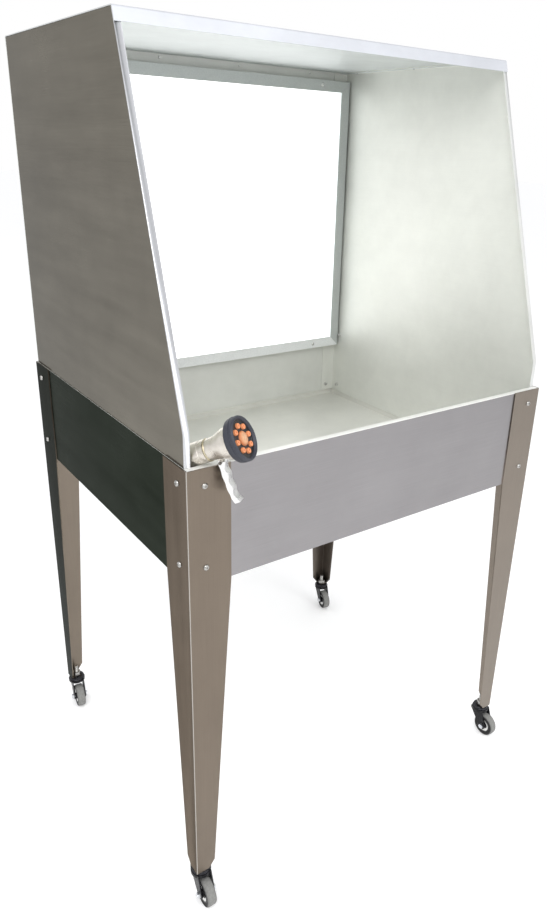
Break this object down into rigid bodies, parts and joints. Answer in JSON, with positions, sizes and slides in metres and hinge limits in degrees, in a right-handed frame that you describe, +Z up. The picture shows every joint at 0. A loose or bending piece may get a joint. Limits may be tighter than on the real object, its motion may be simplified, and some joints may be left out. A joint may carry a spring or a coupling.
{
  "type": "washout booth",
  "caption": "Free-standing stainless washout booth: a sloped open-front hood with a lit back over a shallow draining tub, on tapered legs with swivel casters, with a spray gun hung on the rim.",
  "frame": {"origin": "on the floor, in the middle of the tub's width and of the booth's overall depth", "axes": "+Z up, -Y towards the open front where the user stands, +X to the right seen from the front"},
  "size_m": [0.7698, 0.7103, 1.4116],
  "materials": {
    "stainless": "brushed",
    "bright_steel": "bright",
    "zinc_plate": "bright zinc plate",
    "brass_nut": "satin",
    "seal": "matt",
    "light_bars": "satin anodised",
    "opal_sheet": "opal, lit from behind",
    "tray": "white paint",
    "light_board": "white",
    "gland": "satin",
    "fork_black": "satin black",
    "hub_pale": "satin",
    "tyre_grey": "matt, dusty",
    "gun_nickel": "satin nickel",
    "gun_brass": "satin",
    "gun_rubber": "matt",
    "gun_black": "satin",
    "gun_orange": "satin"
  },
  "bodies": {
    "booth": {"tub_front_panel": "stainless", "tub_back_panel": "stainless", "tub_left_panel": "stainless", "tub_right_panel": "stainless", "tub_floor_pan": "stainless", "leg_front_left": "stainless", "leg_front_right": "stainless", "leg_back_left": "stainless", "leg_back_right": "stainless", "hood_left_panel": "stainless", "hood_right_panel": "stainless", "hood_back_panel": "stainless", "hood_top_panel": "stainless", "drain_waste": "stainless", "drain_strainer": "stainless", "leg_bolts": "bright_steel", "leg_nuts": "bright_steel", "hood_screws": "bright_steel", "light_screws": "bright_steel", "caster_nuts": "bright_steel", "gun_pivot_pin": "bright_steel", "caster_front_left_stem": "zinc_plate", "caster_front_right_stem": "zinc_plate", "caster_back_left_stem": "zinc_plate", "caster_back_right_stem": "zinc_plate", "drain_locknut": "brass_nut", "drain_gasket": "seal", "light_frame_top": "light_bars", "light_frame_bottom": "light_bars", "light_frame_left": "light_bars", "light_frame_right": "light_bars", "light_diffuser": "opal_sheet", "light_tray": "tray", "light_strips": "light_board", "cable_gland": "gland", "cable_gland_nut": "gland", "gun_barrel": "gun_nickel", "gun_grip": "gun_nickel", "gun_inlet": "gun_brass"},
    "front_left_swivel": {"caster_front_left_fork": "fork_black", "caster_front_left_axle": "zinc_plate"},
    "front_left_wheel": {"caster_front_left_hub": "hub_pale", "caster_front_left_tyre": "tyre_grey"},
    "front_right_swivel": {"caster_front_right_fork": "fork_black", "caster_front_right_axle": "zinc_plate"},
    "front_right_wheel": {"caster_front_right_hub": "hub_pale", "caster_front_right_tyre": "tyre_grey"},
    "back_left_swivel": {"caster_back_left_fork": "fork_black", "caster_back_left_axle": "zinc_plate"},
    "back_left_wheel": {"caster_back_left_hub": "hub_pale", "caster_back_left_tyre": "tyre_grey"},
    "back_right_swivel": {"caster_back_right_fork": "fork_black", "caster_back_right_axle": "zinc_plate"},
    "back_right_wheel": {"caster_back_right_hub": "hub_pale", "caster_back_right_tyre": "tyre_grey"},
    "gun_lever": {"gun_trigger": "gun_nickel"},
    "gun_turret": {"gun_bezel": "gun_rubber", "gun_dial": "gun_black", "gun_jets": "gun_orange"}
  },
  "joints": [
    {"name": "front_left_swivel_turn", "type": "hinge", "parent": "booth", "child": "front_left_swivel", "pos_m": [-0.365, -0.287, 0.06], "axis": [0, 0, 1], "continuous": true},
    {"name": "front_left_wheel_spin", "type": "hinge", "parent": "front_left_swivel", "child": "front_left_wheel", "pos_m": [-0.3657, -0.30699, 0.025], "axis": [0.9994, -0.0349, 0], "continuous": true},
    {"name": "front_right_swivel_turn", "type": "hinge", "parent": "booth", "child": "front_right_swivel", "pos_m": [0.365, -0.287, 0.06], "axis": [0, 0, 1], "continuous": true},
    {"name": "front_right_wheel_spin", "type": "hinge", "parent": "front_right_swivel", "child": "front_right_wheel", "pos_m": [0.3657, -0.30699, 0.025], "axis": [0.9994, 0.0349, 0], "continuous": true},
    {"name": "back_left_swivel_turn", "type": "hinge", "parent": "booth", "child": "back_left_swivel", "pos_m": [-0.365, 0.323, 0.06], "axis": [0, 0, 1], "continuous": true},
    {"name": "back_left_wheel_spin", "type": "hinge", "parent": "back_left_swivel", "child": "back_left_wheel", "pos_m": [-0.36778, 0.30319, 0.025], "axis": [0.9903, -0.1392, 0], "continuous": true},
    {"name": "back_right_swivel_turn", "type": "hinge", "parent": "booth", "child": "back_right_swivel", "pos_m": [0.365, 0.323, 0.06], "axis": [0, 0, 1], "continuous": true},
    {"name": "back_right_wheel_spin", "type": "hinge", "parent": "back_right_swivel", "child": "back_right_wheel", "pos_m": [0.3605, 0.30351, 0.025], "axis": [0.9744, -0.225, 0], "continuous": true},
    {"name": "gun_lever_pull", "type": "hinge", "parent": "booth", "child": "gun_lever", "pos_m": [-0.32671, -0.30817, 0.84218], "axis": [0.809, 0.5878, 0], "range_deg": [0, 15], "stiffness_Nm_per_rad": 0.4},
    {"name": "gun_turret_turn", "type": "hinge", "parent": "booth", "child": "gun_turret", "pos_m": [-0.337, -0.294, 0.85756], "axis": [0.5283, -0.7271, 0.4384], "continuous": true}
  ]
}
